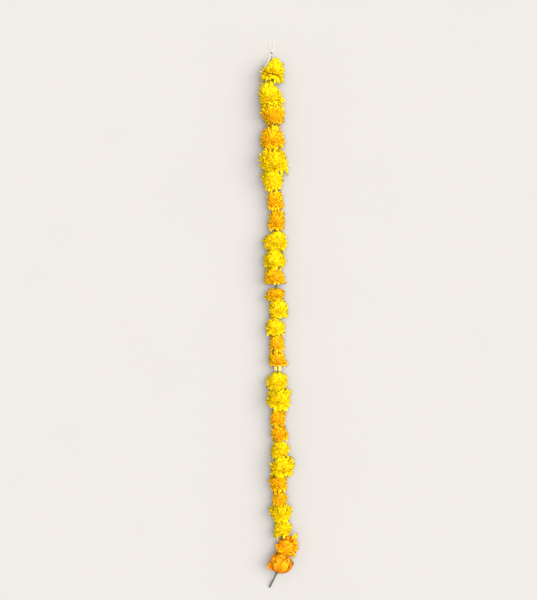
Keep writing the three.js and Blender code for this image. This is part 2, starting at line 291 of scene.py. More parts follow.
SHADED_GREEN = plant_material("shaded_calyx", (0.03, 0.03, 0.008, 1), (0.08, 0.07, 0.02, 1))
PALE_GREEN = plant_material("pale_calyx", (0.42, 0.3, 0.05, 1), (0.66, 0.52, 0.12, 1))
PALE_THREAD = thread_material("pale_thread", (0.36, 0.33, 0.24, 1), (0.5, 0.47, 0.37, 1))
# A dark grey-green thread, for the loop's knot and the string through the heads.
DARK_THREAD = thread_material("dark_thread", (0.06, 0.065, 0.035, 1), (0.17, 0.17, 0.1, 1))


# ---------------------------------------------------------------- threads

# Routes of the free threads, in metres from where the string leaves the first head: right, on, and the
# height above the surface.
LOOP_ROUTE = MM * np.array([
    (0, 0.3, 18.7), (0, 1.5, 18.3), (0.1, 2.8, 16.6), (0.2, 3.5, 13.6), (0.2, 3.9, 9.5), (0.2, 4.3, 5.4),
    (0.1, 5.2, 2.6), (0, 7, 1.5), (-0.1, 9.5, 1.3), (-0.5, 12, 0.9), (-1.7, 15.5, 0.7), (-3.2, 20, 0.7),
    (-3.9, 25, 0.7), (-3.4, 29.5, 0.7), (-1.6, 32.6, 0.7), (1, 33.4, 0.7), (3.2, 31.4, 0.7), (4, 27, 0.7),
    (3.7, 21.8, 0.7), (2.9, 17, 0.7), (1.9, 13.3, 0.8), (1.5, 11.2, 1),
])
TAIL_ROUTE = MM * np.array([
    (-1, 0.3, 19.2), (-1.5, 1, 22), (-2.1, 0.8, 27), (-3, -1.6, 32.5), (-4.3, -7, 37.4), (-6.3, -13, 40),
    (-10, -19.5, 40.3), (-14.6, -26, 37.6), (-19.4, -32, 31.5), (-22.8, -36.3, 23.6), (-24.5, -39, 14.5),
    (-25.2, -41, 6), (-25.8, -43.4, 2), (-26.6, -46.4, 0.8), (-27.4, -49.5, 0.7),
])
THREAD_STEP = 0.55 * MM
THREAD_TURNS = 260  # a metre
THREAD_SIDES = 12
PLY_DEPTH = 0.14  # of the two lobes of its section, as a share of its radius
OFF_AXIS = (0.31, 0.17, 0.93)  # no thread sets out in this direction
ROUTE_POINTS = 24  # worked out between two points of a route
LEAST_STEPS = 8
KNOT_TURNS = 3.5
KNOT_STRAND = 0.9 * MM
KNOT_POINTS = 90
KNOT_ENDS = 0.72  # how wide the ends of the knot are beside its middle
STRING_DIAMETER = 1.6 * MM
STRING_STEP = 0.8 * MM
STRING_RING_GAP = 3 * MM  # less than the CAD string's rings are apart
STOP_KNOT_RADIUS = 1.8 * MM
STOP_KNOT_TURNS = 5
STOP_KNOT_STRAND = 1.0 * MM
STOP_KNOT_POINTS = 140


def smooth_route(route, step):
    """Points a step apart on a Catmull-Rom curve through the points of a route."""
    route = np.asarray(route, float)
    ends = np.vstack([2 * route[0] - route[1], route, 2 * route[-1] - route[-2]])
    t = np.linspace(0, 1, ROUTE_POINTS, endpoint=False)[:, None]
    fine = []
    for a, b, c, d in zip(ends, ends[1:], ends[2:], ends[3:]):
        curve = 2 * b + (c - a) * t + (2 * a - 5 * b + 4 * c - d) * t**2 + (3 * b - a - 3 * c + d) * t**3
        fine.append(curve / 2)
    fine = np.vstack([*fine, route[-1:]])
    along = distance_along(fine)
    count = max(LEAST_STEPS, round(along[-1] / step))
    at = np.linspace(0, along[-1], count + 1)
    return np.stack([np.interp(at, along, fine[:, axis]) for axis in range(3)], axis=1)


def section_frames(path):
    """Two directions across a path at each of its points, which turn no more than the path does."""
    tangents = unit(np.gradient(path, axis=0))
    side = unit(np.cross(tangents[0], OFF_AXIS))
    across = []
    for tangent in tangents:
        side = unit(side - tangent * np.dot(side, tangent))
        across.append(side)
    return np.array(across), np.cross(tangents, across)


def twisted_thread(path, diameter):
    """Vertices and faces of a two-ply thread along a path: its section has two lobes, and turns."""
    across, normal = section_frames(path)
    turn = 2 * math.pi * np.arange(THREAD_SIDES) / THREAD_SIDES
    lobes = np.cos(2 * (turn[None, :] - 2 * math.pi * THREAD_TURNS * distance_along(path)[:, None]))
    radius = diameter / 2 * (1 - PLY_DEPTH + PLY_DEPTH * lobes)
    rings = (
        path[:, None, :]
        + (radius * np.cos(turn))[:, :, None] * across[:, None, :]
        + (radius * np.sin(turn))[:, :, None] * normal[:, None, :]
    )
    points = np.vstack([rings.reshape(-1, 3), path[:1], path[-1:]])
    index = np.arange(len(path) * THREAD_SIDES).reshape(-1, THREAD_SIDES)
    index = np.hstack([index, index[:, :1]])
    first_end, last_end = index.max() + 1, index.max() + 2
    faces = quads(index).tolist()
    for side in range(THREAD_SIDES):
        faces.append([first_end, index[0, side + 1], index[0, side]])
        faces.append([last_end, index[-1, side], index[-1, side + 1]])
    return points, faces


def route_origin():
    """Where the string leaves the first head, from the places of the loop's furthest points."""
    _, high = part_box("hanging_loop")
    furthest = LOOP_ROUTE.max(0)
    radius = THREAD_DIAMETER / 2
    return np.array([high.x - radius - furthest[0], high.y - radius - furthest[1], 0])


def free_thread(name, node, route):
    """A loose thread on its route."""
    path = smooth_route(route + route_origin(), THREAD_STEP)
    points, faces = twisted_thread(path, THREAD_DIAMETER)
    piece = add_piece(name, points, faces, PALE_THREAD, "thread", node)


def wound_path(middle, reach, bulge, turns, t):
    """The path of a strand wound about Y, which is wider where its bulge is greater."""
    turn = 2 * math.pi * turns * t
    return middle + np.stack([
        reach[0] * bulge * np.cos(turn), reach[1] * (2 * t - 1), reach[2] * bulge * np.sin(turn)
    ], axis=1)


def wound_knot():
    """Thread wound round the foot of the loop, in the room of the CAD knot."""
    low, high = (np.array(corner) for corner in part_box("knot"))
    middle, half = (low + high) / 2, (high - low) / 2
    t = np.linspace(0, 1, KNOT_POINTS)
    bulge = KNOT_ENDS + (1 - KNOT_ENDS) * np.sin(math.pi * t)
    path = wound_path(middle, half - KNOT_STRAND / 2, bulge, KNOT_TURNS, t)
    points, faces = twisted_thread(path, KNOT_STRAND)
    add_piece("loop_knot", points, faces, DARK_THREAD, "thread", "knot")


def string_line():
    """The middle of the CAD string at each of its rings, from the stop knot to the first head's face."""
    points = np.array([v.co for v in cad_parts["string"].data.vertices])
    points = points[np.argsort(points[:, 1])]
    rings = np.split(points, np.flatnonzero(np.diff(points[:, 1]) > STRING_RING_GAP) + 1)
    return np.array([ring.mean(0) for ring in rings])


STRING_LINE = string_line()


def string_at(y):
    """The string's place across and above the surface, at places along Y."""
    return [np.interp(y, STRING_LINE[:, 1], STRING_LINE[:, axis]) for axis in (0, 2)]


def fine_string():
    """The two-ply string through the heads, wound into a stop knot below the last one."""
    path = smooth_route(STRING_LINE, STRING_STEP)
    tucked = path[path[:, 1] > STRING_LINE[0, 1] + STOP_KNOT_RADIUS / 2]
    points, faces = twisted_thread(tucked, STRING_DIAMETER)
    t = np.linspace(0, 1, STOP_KNOT_POINTS)
    bulge = np.sin(math.pi * (0.15 + 0.7 * t))
    reach = 3 * [STOP_KNOT_RADIUS - STOP_KNOT_STRAND / 2]
    knot = wound_path(STRING_LINE[0], reach, bulge, STOP_KNOT_TURNS, t)
    knot_points, knot_faces = twisted_thread(knot, STOP_KNOT_STRAND)
    faces += [[corner + len(points) for corner in face] for face in knot_faces]
    add_piece("fine_string", np.vstack([points, knot_points]), faces, DARK_THREAD, "thread", "string")


free_thread("loop_thread", "hanging_loop", LOOP_ROUTE)
free_thread("tail_thread", "thread_tail", TAIL_ROUTE)
wound_knot()
fine_string()


# ---------------------------------------------------------------- heads of petals

ROWS = 6  # of points along a petal
COLUMNS = 6  # across it
PETAL_THICKNESS = 0.35 * MM
PETALS_PER_MM = 14  # of the head's radius
RUFFLE = 1.1 * MM
DEEPER = {27: AMBER, 28: DEEP_ORANGE}  # the heads of a deeper orange than the others
BARE_STALKS = (11, 16)  # heads with a stretch of bare stalk below them

# What is drawn for each petal, evenly between two values.
DRAWS = {
    "width": (0.11, 0.18),  # half its width, beside the radius of its head
    "stray": (0.03, 0.16),  # how much further it reaches if it is a stray one
    "teeth": (2.4, 4.4),  # of its notched tip
    "teeth_aside": (-0.4, 0.4),
    "notch": (0.04, 0.15),  # how deep its notches are, as a share of its length
    "rounding": (0.03, 0.14),
    "waves": (1.2, 2.4),  # across it
    "ripples": (2.6, 4.2),
    "phase": (0, 6.28),  # of its waves and of its ripples
    "ruffle": (0.5, 1.3),  # how high its waves are, beside the others'
    "cup": (-0.1, 0.28),  # how far its edges rise, beside half its width
    "curl": (-0.12, 0.16),  # how far its tip rises, beside its length
    "twist": (-0.5, 0.5),  # at its tip, in radians
    "tone": (0, 1),
}
ANGLE_JITTER = 0.06
TURN_JITTER = 0.12
USUAL_REACH = 1.03  # how far a petal reaches beside the outline, at the most
REACH_JITTER = 0.08
STRAY_SHARE = 0.14  # of the petals, which stick out past the others
STRAY_WIDTH = 0.7  # beside the others'
LONG_FROM = 12  # the first of the petals that are grown longer
LONG_WIDTH = 0.75
RIPPLE_HEIGHT = 0.45  # beside that of the waves
ROOT_OUT = 0.14  # how far petals' roots are from the axis, beside the head's radius
BEND_AT = 0.6  # how far a petal keeps the direction in which it sets out, as a share of its length

FILL_ABOVE = 1.5  # how far the outline would reach past the walls
FILL_BELOW = 1.8
LEAST_HEIGHT = 0.7  # of a head's middle above the surface, beside its radius
LEAST_REACH = 0.5  # of a petal, beside the head's radius
LUMPS = 5  # clumps and dents of a head besides those that are given
LUMP_HEIGHT = 0.1
LUMP_SHARPNESS = 10

# Petals keep clear of the surface, of the string, and of wavy walls between the heads.
CLEAR = 0.15 * MM  # of the surface
STRING_ROOM = 1.1 * MM
SURFACE_SOFTNESS = 0.6 * MM
WALL_SOFTNESS = 0.5 * MM
STRING_SOFTNESS = 0.3 * MM
INTERLEAVE = 4.0 * MM  # how far petals of neighbouring heads reach in among each other
FIRST_SLOPE = 1.6  # of the first head's top, down to the left of the string
FIRST_STEP = 17 * MM  # how far down it goes
WALL_SLOPES = {4: -0.2, 5: -0.25, 8: 0.6, 10: -0.3, 26: 0.85, 27: -0.3}  # rise to the right, below a head
WALL_DROOP = 6.5 * MM  # how far a head's lowest petals hang over the next head
WALL_LOBES = 3.2 * MM
WALL_RUFFLES = 1.4 * MM
WALL_TURN = 1.7  # by which each wall's waves are turned past those of the wall above it, in radians
WALL_MIDDLE = 0.3  # how much of a wall is flat, beside the heads' radius
BARE_WAVES = 0.4  # how far the walls at a bare stalk wave, beside the others

CORE_RINGS = 14
CORE_SIDES = 20
CORE_LUMP_HEIGHT = 0.08
CORE_VALUES = (0.0, 0.3, 0.5)  # across, along and tone, for its colour
CALYX_RIMS = {1: 0.6, 11: 0.6, 16: 2.2}  # radii beside the CAD calyxes'
USUAL_RIM = 0.85

# How far each head leans to the right of the string as seen by the viewer, in degrees.
LEANS = (
    8, -14, -6, -6, -10, -2, -4, 9, 8, -4, -6, -8, -8, -4,
    -4, -10, 5, 3, 8, -10, 8, 2, -4, 4, -1, -3, 30, 20,
)
# What a head is like, apart from what HABITS says of it.
USUAL = {
    "size": 0.97,  # how wide the head is beside its CAD head
    "flare": 0.08,  # how much wider than its outline the head is below
    "crown": 1.8,  # exponents of its outline above and below its widest, where 2 is an ellipse
    "skirt": 2.6,
    "core": 0.74,  # how large its core is beside it
    "angles": (12, 146),  # from its axis, of the first and last petals' tips, in degrees
    "root": 0.42,  # where they grow from, as a share of its length below its widest
    "start": 0.72,  # the direction in which they set out, as a share of their tips' angle
    "steepest": 110,  # the greatest of those directions, in degrees
    "many": 1.0,  # how many there are beside the others'
    "shown": 0.5,  # where they come out of the core, as a share of their length
    "broad": 1.0,  # how wide and how ruffled they are, and how far they curl, beside the others'
    "ruffled": 1.0,
    "curl": 1.0,
    "lumps": (),  # where it bulges or is dented: degrees round from the right, angle, and by how much
    "long": (),  # its longest petals: degrees round from the right, angle, and how far past its outline
    "turned": 25,  # how far their faces turn towards the viewer, in degrees
}
# What sets some heads apart, from the photo.
HABITS = {
    1: {
        "tip": 4, "crown": 1.5, "long": ((0, 62, 1.12), (10, 84, 1.14), (180, 78, 1.15), (165, 100, 1.1)),
        "lumps": ((0, 10, -0.1), (60, 150, 0.25)), "core": 0.4, "shown": 0.2,
    },
    2: {
        "crown": 1.5, "long": ((0, 92, 1.08), (180, 95, 1.08)),
        "lumps": ((180, 75, -0.1), (0, 110, 0.08), (0, 45, -0.15), (60, 25, 0.2)),
    },
    3: {"crown": 2.6, "skirt": 2.0, "flare": -0.15, "lumps": ((180, 120, -0.12), (0, 105, 0.08))},
    4: {"crown": 1.5, "flare": 0.0, "skirt": 2.4, "long": ((0, 70, 1.1),)},
    5: {
        "tip": 24, "crown": 2.3, "flare": 0.05, "long": ((0, 146, 1.2), (180, 78, 1.14), (180, 98, 1.12)),
        "lumps": ((0, 60, -0.12), (180, 80, 0.1)),
    },
    6: {"crown": 2.4, "flare": -0.1, "lumps": ((180, 120, -0.15),)},
    7: {"crown": 2.3, "skirt": 4.0, "flare": 0.02, "long": ((180, 60, 1.12), (180, 100, 1.1))},
    8: {"crown": 2.6, "skirt": 3.4, "flare": 0.05},
    9: {
        "crown": 1.8, "flare": 0.0, "skirt": 2.4, "long": ((180, 95, 1.08),),
        "lumps": ((180, 35, -0.35), (160, 45, -0.25), (180, 130, -0.15)),
    },
    10: {"crown": 1.9, "flare": 0.02, "skirt": 2.3, "lumps": ((180, 40, -0.25),)},
    11: {
        "tip": 4, "crown": 2.6, "flare": 0.14, "long": ((180, 60, 1.15), (180, 115, 1.15), (0, 125, 1.1)),
        "lumps": ((180, 70, -0.15), (180, 140, -0.15), (0, 75, -0.15)),
    },
    12: {
        "tip": 16, "crown": 1.6, "flare": 0.1, "ruffled": 1.3, "long": ((0, 55, 1.15), (180, 110, 1.15)),
        "lumps": ((0, 125, -0.25),),
    },
    13: {"crown": 2.2, "skirt": 2.2, "flare": 0.0, "lumps": ((180, 50, 0.2), (0, 120, -0.12))},
    14: {
        "crown": 1.4, "skirt": 2.1, "flare": 0.05, "long": ((180, 42, 1.3), (0, 80, 1.1)),
        "lumps": ((0, 40, -0.3), (0, 65, -0.15), (180, 115, -0.12)),
    },
    15: {"crown": 3.2, "skirt": 4.0, "flare": 0.05, "core": 0.8},
    16: {"tip": 6, "crown": 2.8, "skirt": 3.0, "flare": 0.1, "long": ((180, 60, 1.25), (0, 118, 1.25))},
    17: {
        "crown": 1.5, "flare": 0.0, "long": ((0, 80, 1.1),),
        "lumps": ((180, 45, -0.2), (0, 120, -0.15), (180, 115, 0.08)),
    },
    18: {
        "crown": 2.4, "flare": 0.0, "skirt": 2.0, "long": ((0, 50, 1.14), (0, 80, 1.1), (180, 100, 1.1)),
        "lumps": ((180, 90, -0.12), (0, 85, -0.1), (180, 115, 0.06), (180, 140, -0.12)),
    },
    19: {"crown": 3.0, "skirt": 4.0, "flare": 0.05, "core": 0.8},
    20: {
        "crown": 2.4, "skirt": 2.8, "long": ((180, 50, 1.2), (180, 80, 1.15), (180, 110, 1.15)),
        "lumps": ((180, 80, 0.08), (0, 60, -0.1)),
    },
    21: {"size": 1.0, "crown": 2.4, "flare": -0.05},
    22: {
        "size": 1.02, "tip": 8, "crown": 2.6, "flare": 0.0,
        "long": ((180, 60, 1.15), (0, 42, 1.2), (0, 75, 1.06)),
        "lumps": ((180, 60, 0.22), (180, 45, 0.2), (180, 115, -0.12), (0, 130, -0.1)),
    },
    23: {
        "crown": 2.8, "skirt": 3.6, "flare": -0.1,
        "long": ((180, 50, 1.3), (180, 72, 1.15), (180, 112, 1.12)),
        "lumps": ((0, 90, -0.12), (180, 55, 0.12)),
    },
    24: {
        "crown": 3.2, "skirt": 4.0, "flare": 0.0, "core": 0.8, "long": ((0, 42, 1.35), (0, 75, 1.12)),
        "lumps": ((0, 55, 0.22), (0, 40, 0.25)),
    },
    25: {
        "size": 1.0, "crown": 3.0, "skirt": 2.2, "flare": -0.12, "long": ((180, 50, 1.12), (0, 50, 1.12)),
        "lumps": ((180, 60, 0.08), (180, 130, -0.1), (0, 130, -0.1)),
    },
    26: {"size": 0.94, "flare": 0.0, "lumps": ((0, 60, 0.1), (180, 140, 0.15))},
    27: {
        "size": 0.88, "tip": 14, "many": 0.45, "broad": 2.6, "ruffled": 1.7, "turned": 75,
        "long": (
            (0, 6, 1.25), (5, 34, 1.1), (0, 66, 1.3), (0, 90, 1.22), (20, 104, 1.18), (0, 118, 1.3),
            (180, 125, 1.1), (150, 50, 1.3), (178, 70, 1.3), (165, 62, 1.3),
        ),
        "lumps": ((180, 72, 0.3), (150, 52, 0.3), (180, 102, -0.2)),
    },
    28: {
        "size": 0.91, "tip": -6, "flare": 0.0, "skirt": 1.9, "core": 0.72, "angles": (10, 84), "root": 0.95,
        "start": 1.25, "steepest": 76, "shown": 0.05, "broad": 1.9, "ruffled": 0.3, "curl": 0.8,
        "turned": 70, "long": ((180, 109, 1.25), (170, 101, 1.15), (180, 92, 1.06), (165, 84, 1.02)),
        "lumps": ((180, 40, 0.12), (0, 130, -0.12)),
    },
}


def calyx_rim(number):
    """The radius of a calyx's rim."""
    low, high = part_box(f"calyx_{number:02d}")
    return CALYX_RIMS.get(number, USUAL_RIM) * (high.x - low.x) / 2


class Head:
    """Where a head of petals sits in its CAD node's room, and how it leans."""

    def __init__(self, number):
        self.number = number
        self.node = f"bloom_{number:02d}"
        self.rng = np.random.default_rng(100 + number)
        self.habit = {**USUAL, "tip": self.rng.uniform(-6, 20), **HABITS.get(number, {})}
        self.lumps = [*self.habit["lumps"], *self.more_lumps()]
        self.longest = slice(LONG_FROM, LONG_FROM + len(self.habit["long"]))
        self.colour = "yellow" if (number - 1) % 4 < 2 else "orange"
        self.measure()
        lean = Matrix.Rotation(-math.radians(LEANS[number - 1]), 3, "Z")
        self.turn = np.array(lean @ Matrix.Rotation(math.radians(self.habit["tip"]), 3, "X"))
        low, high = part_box(f"calyx_{number:02d}")
        rim = calyx_rim(number) + 0.4 * MM if number < HEADS else STRING_ROOM
        self.room = ([low.y, high.y, high.y + 2 * MM], [0.6 * rim, rim, STRING_ROOM])

    def measure(self):
        """Its middle, level with its widest part, and how far it reaches from there, as its CAD head."""
        points = np.array([v.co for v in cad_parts[self.node].data.vertices])
        self.low, self.high = points.min(0), points.max(0)
        self.radius = (self.high[0] - self.low[0]) / 2
        middle_x = (self.low[0] + self.high[0]) / 2
        height = max(self.high[2] - self.radius, LEAST_HEIGHT * self.radius)
        out = np.hypot(points[:, 0] - middle_x, points[:, 2] - height)
        widest = points[out > 0.85 * self.radius, 1].mean()
        self.centre = np.array([middle_x, widest, height])
        self.above = self.high[1] - widest
        self.below = widest - self.low[1]

    def outline(self, angle):
        """How far the head reaches at an angle from its axis."""
        along = np.where(angle < math.pi / 2, FILL_ABOVE * self.above, FILL_BELOW * self.below)
        out = self.radius * self.habit["size"] * (1 - self.habit["flare"] * np.cos(angle))
        n = np.where(angle < math.pi / 2, self.habit["crown"], self.habit["skirt"])
        return ((np.abs(np.cos(angle)) / along) ** n + (np.sin(angle) / out) ** n) ** (-1 / n)

    def more_lumps(self):
        """Clumps and dents here and there."""
        for _ in range(LUMPS):
            round_by = self.rng.uniform(0, 360)
            from_axis = self.rng.uniform(20, 130)
            yield round_by, from_axis, LUMP_HEIGHT * self.rng.choice([-1, 1])

    def lumpiness(self, angle, turn):
        """How much further than its outline the head reaches in a direction, as a factor."""
        factor = 1
        for round_by, from_axis, amount in self.lumps:
            lump_angle, lump_turn = math.radians(from_axis), math.radians(round_by)
            apart = np.cos(angle) * math.cos(lump_angle)
            apart = apart + np.sin(angle) * math.sin(lump_angle) * np.cos(turn - lump_turn)
            factor = factor + amount * np.exp(LUMP_SHARPNESS * (apart - 1))
        return factor

    def place(self, points):
        """Head coordinates, with the axis along Y, to the frame's."""
        return points @ self.turn.T + self.centre


def half_gap(number):
    """Half the bare stalk below a head where it shows, or less than nothing where petals interleave."""
    if number in (0, HEADS):
        return 0
    gap = heads[number - 1].low[1] - heads[number].high[1]
    return gap / 2 if number in BARE_STALKS else -INTERLEAVE - max(0, gap / 2)


def top_wall(points):
    """The wall above the first head, which is lower to the left of the string."""
    left = STRING_LINE[-1, 0] - points[..., 0]
    return heads[0].high[1] - np.clip(FIRST_SLOPE * left, 0, FIRST_STEP)


def wall(number, points):
    """The wavy wall below a head: its place along Y at each point."""
    if number == 0:
        return top_wall(points)
    upper, lower = heads[number - 1], heads[min(number, HEADS - 1)]
    above = upper.low[1]
    below = lower.high[1] if number < HEADS else above - 2 * MM
    middle = (upper.centre + lower.centre) / 2
    x, z = points[..., 0] - middle[0], points[..., 2] - middle[2]
    outward = np.clip(2 * np.hypot(x, z) / (upper.radius + lower.radius) - WALL_MIDDLE, 0, 1)
    outward = outward * (BARE_WAVES if half_gap(number) > 0 else 1)
    turn, phase = np.arctan2(z, x), WALL_TURN * number
    droop = WALL_DROOP * (1 + 0.8 * np.sin(turn + phase)) * (number < HEADS)
    lobes = WALL_LOBES * np.sin((2 + number % 2) * turn + 2 * phase)
    ruffles = WALL_RUFFLES * np.sin((7 + number % 3) * turn + 3 * phase)
    return (above + below) / 2 + WALL_SLOPES.get(number, 0) * x + outward * (lobes + ruffles - droop)


def hold_back(distance, softness):
    """Distances from a wall, bent so that none passes it: far ones stay, near ones crowd up to it."""
    return softness * np.logaddexp(0, distance / softness)


def keep_clear(head, points):
    """Bends petals clear of the surface, the neighbouring heads, the string and the calyx."""
    points[..., 2] = CLEAR + hold_back(points[..., 2] - CLEAR, SURFACE_SOFTNESS)
    floor_y = wall(head.number, points) + half_gap(head.number)
    points[..., 1] = floor_y + hold_back(points[..., 1] - floor_y, WALL_SOFTNESS)
    ceiling_y = wall(head.number - 1, points) - half_gap(head.number - 1)
    points[..., 1] = ceiling_y - hold_back(ceiling_y - points[..., 1], WALL_SOFTNESS)
    string_x, string_z = string_at(points[..., 1])
    x, z = points[..., 0] - string_x, points[..., 2] - string_z
    away = np.hypot(x, z)
    room = np.interp(points[..., 1], *head.room)
    pushed = (room + hold_back(away - room, STRING_SOFTNESS)) / away
    points[..., 0] = string_x + pushed * x
    points[..., 2] = string_z + pushed * z
    return points


def tip_reach(head, angle, turn, share, rng):
    """How far from the head's centre petals reach: to its outline, or about to a wall before that."""
    way = head.place(np.stack([
        np.sin(angle) * np.cos(turn), np.cos(angle), np.sin(angle) * np.sin(turn)
    ], axis=-1)) - head.centre
    slack = rng.uniform(0, INTERLEAVE, len(angle))
    reach = head.outline(angle) * head.lumpiness(angle, turn) * share
    for _ in range(4):
        tips = head.centre + way * reach[:, None]
        under = wall(head.number, tips) + half_gap(head.number) + slack - tips[:, 1]
        over = tips[:, 1] - (wall(head.number - 1, tips) - half_gap(head.number - 1) - slack)
        reach -= np.maximum(0, np.maximum(under, over)) / np.maximum(0.5, np.abs(way[:, 1]))
    return np.maximum(reach, LEAST_REACH * head.radius)


def petal_faces():
    """Faces of one petal: two skins that share their rim."""
    top = np.arange(ROWS * COLUMNS).reshape(ROWS, COLUMNS)
    under = top.copy()
    inside = under[1:-1, 1:-1]
    inside[:] = top.size + np.arange(inside.size).reshape(inside.shape)
    return np.vstack([quads(top), quads(under, -1)])


def petal_angles(count, first, last, rng):
    """Tip angles from the axis, spread so that the petals cover the head evenly, and turns about it."""
    share = (np.arange(count) + 0.5) / count
    early, late = math.cos(math.radians(first)), math.cos(math.radians(last))
    angle = np.arccos(early + (late - early) * share)
    turn = math.pi * (3 - math.sqrt(5)) * np.arange(count)
    return angle + rng.normal(0, ANGLE_JITTER, count), turn + rng.normal(0, TURN_JITTER, count)


def aim_petals(head, width, rng):
    """Petals' tip angles and turns, how far they reach beside the outline, and how wide they are."""
    habit, count = head.habit, len(width)
    angle, turn = petal_angles(count, *habit["angles"], rng)
    share = USUAL_REACH - np.abs(rng.normal(0, REACH_JITTER, count))
    for petal, (round_by, from_axis, past) in enumerate(habit["long"], LONG_FROM):
        turn[petal] = math.radians(round_by)
        angle[petal] = math.radians(from_axis)
        share[petal] = past
    stray = (rng.uniform(0, 1, count) < STRAY_SHARE / habit["broad"] ** 3) & (np.sin(angle) > 0.7)
    share = np.where(stray, share + rng.uniform(*DRAWS["stray"], count), share)
    width = np.where(stray, STRAY_WIDTH * width, width)
    width[head.longest] *= LONG_WIDTH
    return angle, turn, share, width


def spread(values):
    """One value a petal, shaped so that it goes for all the petal's rows and columns."""
    return values[:, None, None]


def notched_tips(broad, u, pick):
    """How much of their length petals keep from edge to edge, as their tips are rounded and notched."""
    teeth = pick("teeth")
    notch = np.abs(np.sin(0.5 * math.pi * teeth * (u + pick("teeth_aside"))))
    return 1 - pick("notch") / broad**2 * (1 - notch) - pick("rounding") * np.abs(u) ** 3


def arc(root, bend, tip, s):
    """Places at shares of curves that leave their roots towards a bend and end at tips, and slopes."""
    bend, tip = spread(bend), spread(tip)
    place = root * (1 - s) ** 2 + 2 * bend * s * (1 - s) + tip * s**2
    return place, 2 * (bend - root) * (1 - s) + 2 * (tip - bend) * s


def petal_arcs(head, angle, turn, share, s, rng):
    """Petals seen from the side: their length, and their points' and slopes' parts out and along."""
    root_out, root_along = ROOT_OUT * head.radius, -head.habit["root"] * head.below
    reach = tip_reach(head, angle, turn, share, rng)
    tip_out, tip_along = reach * np.sin(angle), reach * np.cos(angle)
    start = np.minimum(head.habit["start"] * angle, math.radians(head.habit["steepest"]))
    length = np.hypot(tip_out - root_out, tip_along - root_along)
    bend_out = root_out + BEND_AT * length * np.sin(start)
    bend_along = root_along + BEND_AT * length * np.cos(start)
    out, slope_out = arc(root_out, bend_out, tip_out, s)
    along, slope_along = arc(root_along, bend_along, tip_along, s)
    steep = np.hypot(slope_out, slope_along)
    return length, out, along, slope_out / steep, slope_along / steep


def petal_sections(head, width, length, u, v, pick):
    """Petals seen from their roots: how far aside and how far up their points lie, with their ruffles."""
    habit = head.habit
    broad = 0.2 + 0.8 * np.sin(0.5 * math.pi * np.clip(v / 0.78, 0, 1)) ** 1.3
    half_width = spread(width) * broad * (1 - 0.4 * np.clip((v - 0.75) / 0.25, 0, 1) ** 2)
    aside = half_width * u
    waves = np.sin(math.pi * pick("waves") * u + pick("phase"))
    waves = waves + RIPPLE_HEIGHT * np.sin(math.pi * pick("ripples") * u + 5 * v + pick("phase"))
    lift = RUFFLE * habit["ruffled"] * pick("ruffle") * v**2 * waves
    lift = lift + habit["ruffled"] * pick("cup") * half_width * u**2
    lift = lift + habit["curl"] * pick("curl") * spread(length) * v**3
    twist = pick("twist")
    twist[head.longest] = math.radians(habit["turned"])
    cos_twist, sin_twist = np.cos(twist * v), np.sin(twist * v)
    return aside * cos_twist - lift * sin_twist, aside * sin_twist + lift * cos_twist


def grow_petals(head, width, rng):
    """Both skins of every petal of a head, in rows and columns, and across, along and tone values."""
    v = np.linspace(head.habit["shown"], 1, ROWS)[None, :, None]
    u = np.linspace(-1, 1, COLUMNS)[None, None, :]

    def pick(name):
        return spread(rng.uniform(*DRAWS[name], len(width)))

    angle, turn, share, width = aim_petals(head, width, rng)
    s = v * notched_tips(head.habit["broad"], u, pick)
    length, out, along, slope_out, slope_along = petal_arcs(head, angle, turn, share, s, rng)
    aside, lift = petal_sections(head, width, length, u, v, pick)
    cos_turn, sin_turn = spread(np.cos(turn)), spread(np.sin(turn))

    def skin(lift):
        outward = out - lift * slope_along
        return keep_clear(head, head.place(np.stack([
            outward * cos_turn - aside * sin_turn,
            along + lift * slope_out,
            outward * sin_turn + aside * cos_turn,
        ], axis=-1)))

    swell = PETAL_THICKNESS * (1 - u**4) * np.minimum(1, 4 * (1 - v) + 0.25)
    values = np.stack(np.broadcast_arrays(u, s, pick("tone")), axis=-1)
    return skin(lift), skin(lift - swell), values


def petal_points(upper, lower):
    """All that belongs to each petal's points: the whole of one skin, and the other inside its rim."""
    inside = lower[:, 1:-1, 1:-1]
    return np.concatenate([skin.reshape(len(skin), -1, 3) for skin in (upper, inside)], axis=1)


def head_core(head):
    """A lumpy core threaded on the string like a bead, which the petals stand out of."""
    t = np.linspace(0, 2 * math.pi, CORE_RINGS, endpoint=False)[:, None]
    turn = np.linspace(0, 2 * math.pi, CORE_SIDES, endpoint=False)[None, :]
    swell = (0.5 + 0.5 * np.cos(t)) * (1 + CORE_LUMP_HEIGHT * np.sin(5 * turn) * np.sin(t))
    core = head.habit["core"]
    out = STRING_ROOM + (core * head.radius - STRING_ROOM) * swell
    half = core * np.where(np.sin(t) > 0, head.above, head.below)
    y = head.centre[1] + half * np.sin(t) + 0 * turn
    string_x, string_z = string_at(y)
    x = string_x + swell * (head.centre[0] - string_x) + out * np.cos(turn)
    z = string_z + swell * (head.centre[2] - string_z) + out * np.sin(turn)
    index = np.arange(CORE_RINGS * CORE_SIDES).reshape(CORE_RINGS, CORE_SIDES)
    faces = quads(np.pad(index, ((0, 1), (0, 1)), mode="wrap"))
    return keep_clear(head, np.stack([x, y, z], axis=-1)).reshape(-1, 3), faces


